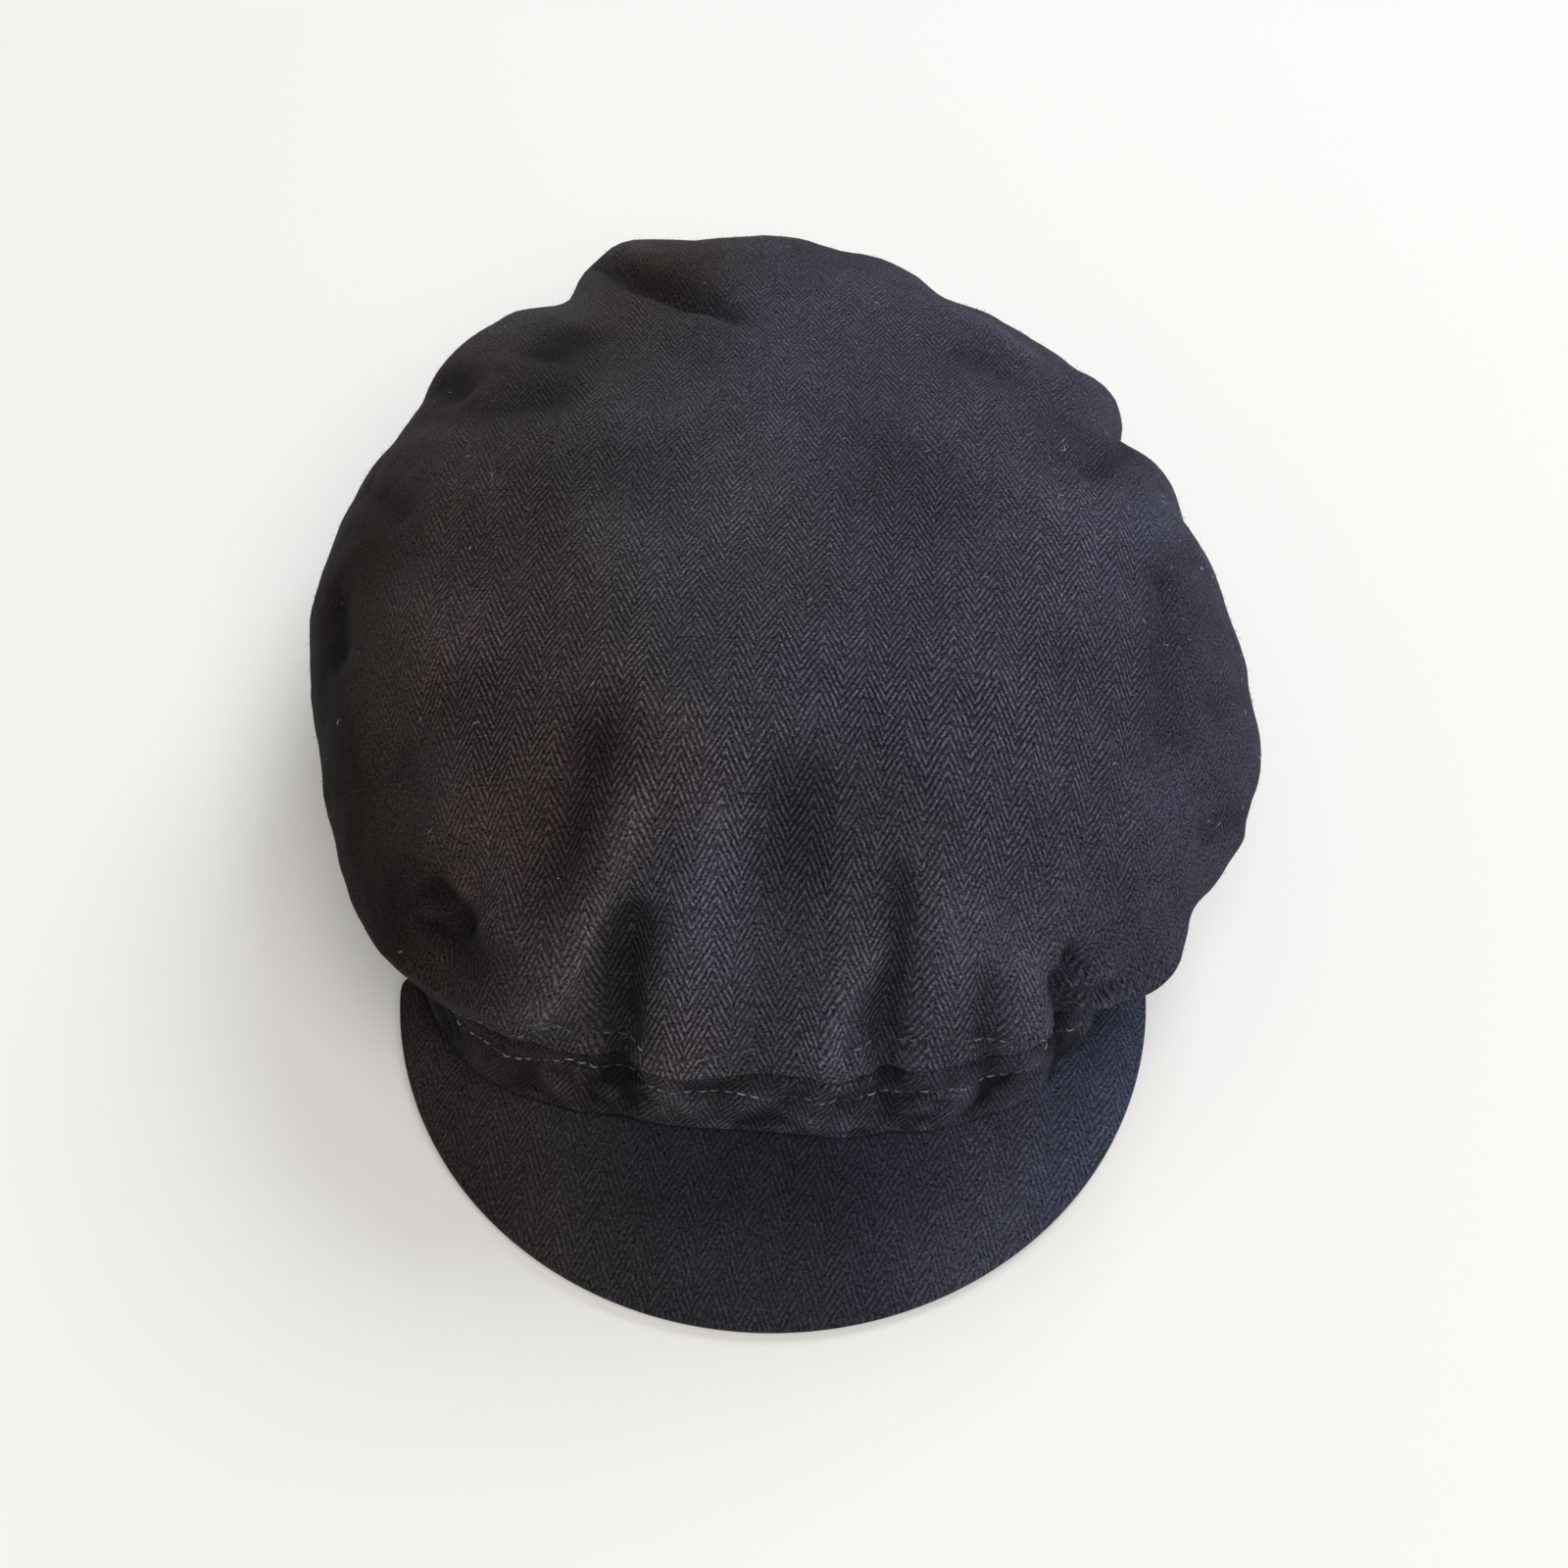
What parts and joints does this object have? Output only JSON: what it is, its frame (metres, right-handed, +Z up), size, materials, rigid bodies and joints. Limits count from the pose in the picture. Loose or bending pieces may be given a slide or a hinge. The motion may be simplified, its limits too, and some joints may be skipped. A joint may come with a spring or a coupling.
{
  "type": "fiddler cap",
  "caption": "Soft fiddler cap with a full gathered crown, an upright band and a short curved peak.",
  "frame": {"origin": "on the ground under the middle of the cap's plan", "axes": "+Z up, the peak points to -Y, +X is the right side of the picture"},
  "size_m": [0.2414, 0.3132, 0.1007],
  "materials": {
    "crown_cloth": "near-black navy herringbone wool",
    "band_cloth": "near-black navy herringbone wool",
    "peak_cloth": "near-black navy herringbone wool over a stiffener"
  },
  "bodies": {
    "root": {"crown": "crown_cloth", "band": "band_cloth", "peak": "peak_cloth"}
  },
  "joints": []
}
